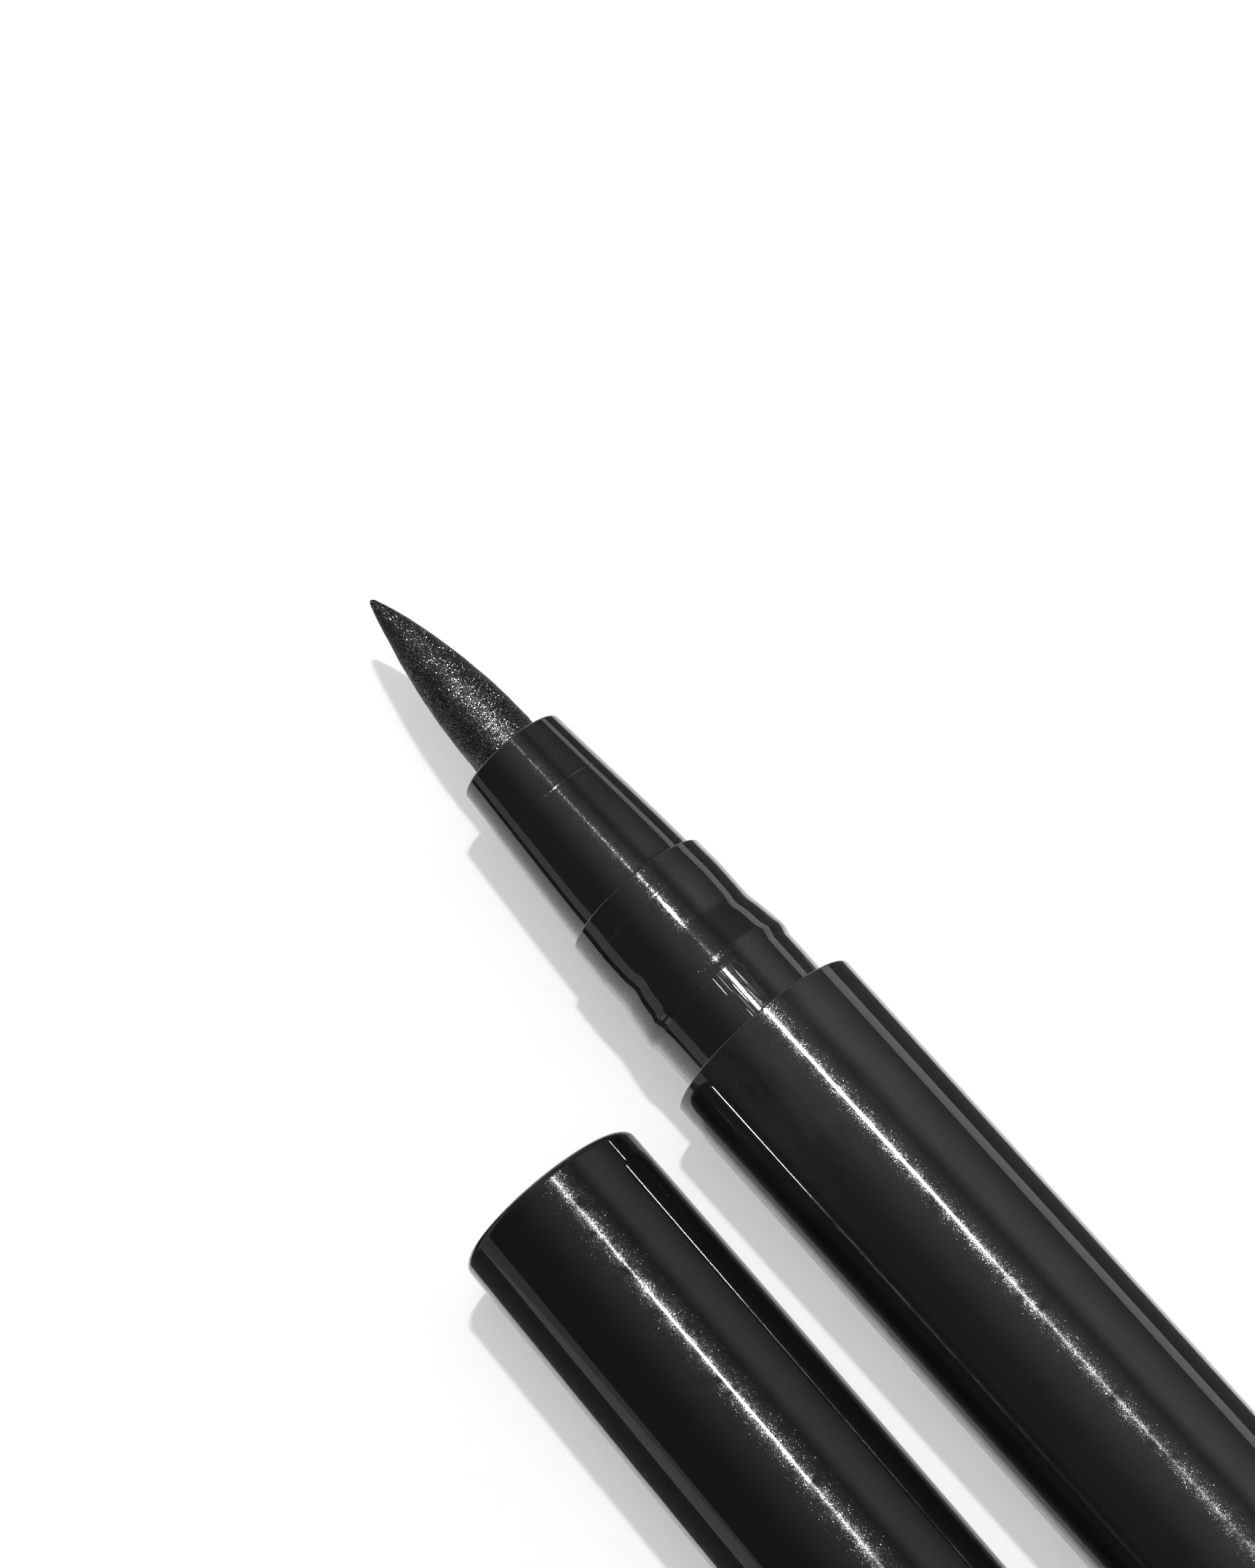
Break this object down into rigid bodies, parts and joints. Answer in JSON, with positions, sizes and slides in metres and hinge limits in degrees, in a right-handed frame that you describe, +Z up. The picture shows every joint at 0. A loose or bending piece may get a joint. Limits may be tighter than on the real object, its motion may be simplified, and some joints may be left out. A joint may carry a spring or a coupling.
{
  "type": "liquid eyeliner pen",
  "caption": "Felt-tip liquid eyeliner pen lying flat with its cap pulled off and laid beside it; nib, holder, snap collar, feed and tank come apart.",
  "frame": {"origin": "centre of the footprint of the pen and its cap, on the surface that both lie on", "axes": "+X along the pen towards its rear end, so the nib points to -X; +Y from the cap across to the pen; +Z up"},
  "size_m": [0.1248, 0.0232, 0.01],
  "materials": {
    "nib_felt": "wet black felt, faintly glittering",
    "holder_plastic": "high-gloss black",
    "collar_plastic": "high-gloss black",
    "wick_fibre": "liquid-soaked bonded fibre",
    "collector_plastic": "satin dark grey",
    "seal_rubber": "matt black",
    "barrel_plastic": "high-gloss black",
    "ball_steel": "polished",
    "plug_plastic": "high-gloss black",
    "cap_plastic": "high-gloss black",
    "cup_plastic": "soft satin grey"
  },
  "bodies": {
    "pen": {"felt_nib": "nib_felt", "nib_holder": "holder_plastic", "front_collar": "collar_plastic", "relay_wick": "wick_fibre", "ink_collector": "collector_plastic", "collector_seal": "seal_rubber", "barrel": "barrel_plastic", "rear_plug": "plug_plastic", "plug_seal": "seal_rubber"},
    "ball": {"mixing_ball": "ball_steel"},
    "cap": {"cap_shell": "cap_plastic", "cap_inner_cup": "cup_plastic"}
  },
  "joints": [
    {"name": "cap_pull", "type": "slide", "parent": "pen", "child": "cap", "axis": [-0.9997, 0.0257, 0], "range_m": [0, 0.027]},
    {"name": "ball_roll", "type": "slide", "parent": "pen", "child": "ball", "axis": [1, 0, 0], "range_m": [0, 0.0544]}
  ]
}
